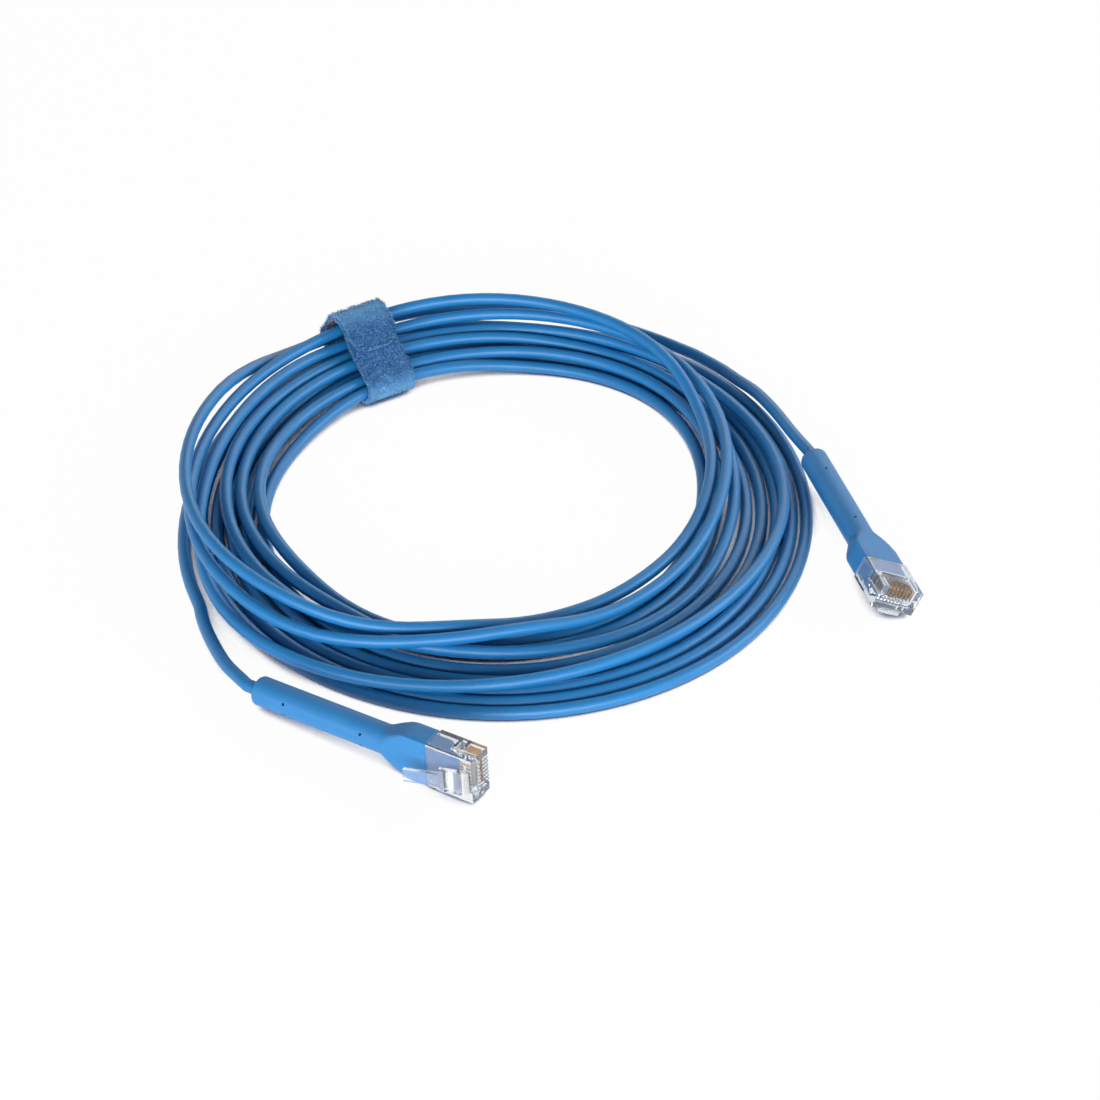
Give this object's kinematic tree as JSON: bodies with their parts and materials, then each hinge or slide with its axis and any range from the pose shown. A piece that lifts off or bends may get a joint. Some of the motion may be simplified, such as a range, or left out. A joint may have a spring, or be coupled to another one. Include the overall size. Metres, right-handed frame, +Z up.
{
  "type": "ethernet patch cable",
  "caption": "Slim network patch cable in a flat oval coil held by a hook-and-loop strap, with a clear latching eight-contact plug and a long moulded boot at each end.",
  "frame": {"origin": "centre of the lying cable in plan, on the surface it lies on", "axes": "+Z up from the surface, +Y along the longer side of the coil, away from the plug that lies across the front; +X towards the other plug"},
  "size_m": [0.1852, 0.2152, 0.0177],
  "materials": {
    "clear_plastic": "clear moulded polycarbonate, polished",
    "boot_plastic": "flexible PVC moulding, satin",
    "cord_jacket": "extruded PVC jacket, satin",
    "strap_fabric": "brushed loop fabric, hooks on the back",
    "contact_gold": "gold plated, bright",
    "wire_white_orange": "polyethylene wire insulation",
    "wire_orange": "polyethylene wire insulation",
    "wire_white_green": "polyethylene wire insulation",
    "wire_blue": "polyethylene wire insulation",
    "wire_white_blue": "polyethylene wire insulation",
    "wire_green": "polyethylene wire insulation",
    "wire_white_brown": "polyethylene wire insulation",
    "wire_brown": "polyethylene wire insulation"
  },
  "bodies": {
    "cable": {"plug_housing_a": "clear_plastic", "crimp_bar_a": "clear_plastic", "boot_a": "boot_plastic", "contact_a_1": "contact_gold", "conductor_a_1": "wire_white_orange", "contact_a_2": "contact_gold", "conductor_a_2": "wire_orange", "contact_a_3": "contact_gold", "conductor_a_3": "wire_white_green", "contact_a_4": "contact_gold", "conductor_a_4": "wire_blue", "contact_a_5": "contact_gold", "conductor_a_5": "wire_white_blue", "contact_a_6": "contact_gold", "conductor_a_6": "wire_green", "contact_a_7": "contact_gold", "conductor_a_7": "wire_white_brown", "contact_a_8": "contact_gold", "conductor_a_8": "wire_brown", "plug_housing_b": "clear_plastic", "crimp_bar_b": "clear_plastic", "boot_b": "boot_plastic", "contact_b_1": "contact_gold", "conductor_b_1": "wire_white_orange", "contact_b_2": "contact_gold", "conductor_b_2": "wire_orange", "contact_b_3": "contact_gold", "conductor_b_3": "wire_white_green", "contact_b_4": "contact_gold", "conductor_b_4": "wire_blue", "contact_b_5": "contact_gold", "conductor_b_5": "wire_white_blue", "contact_b_6": "contact_gold", "conductor_b_6": "wire_green", "contact_b_7": "contact_gold", "conductor_b_7": "wire_white_brown", "contact_b_8": "contact_gold", "conductor_b_8": "wire_brown", "coil": "cord_jacket", "pigtail_a": "cord_jacket", "pigtail_b": "cord_jacket", "tie_strap": "strap_fabric"},
    "latch_a_lever": {"latch_a": "clear_plastic"},
    "latch_b_lever": {"latch_b": "clear_plastic"}
  },
  "joints": [
    {"name": "latch_a_hinge", "type": "hinge", "parent": "cable", "child": "latch_a_lever", "pos_m": [-0.01699, -0.10623, 0.00659], "axis": [0.0365, -0.0239, -0.999], "range_deg": [0, 17], "stiffness_Nm_per_rad": 0.01},
    {"name": "latch_b_hinge", "type": "hinge", "parent": "cable", "child": "latch_b_lever", "pos_m": [0.08426, -0.03587, 0.00252], "axis": [0.8761, 0.2379, -0.4193], "range_deg": [-12, 5], "stiffness_Nm_per_rad": 0.01}
  ]
}
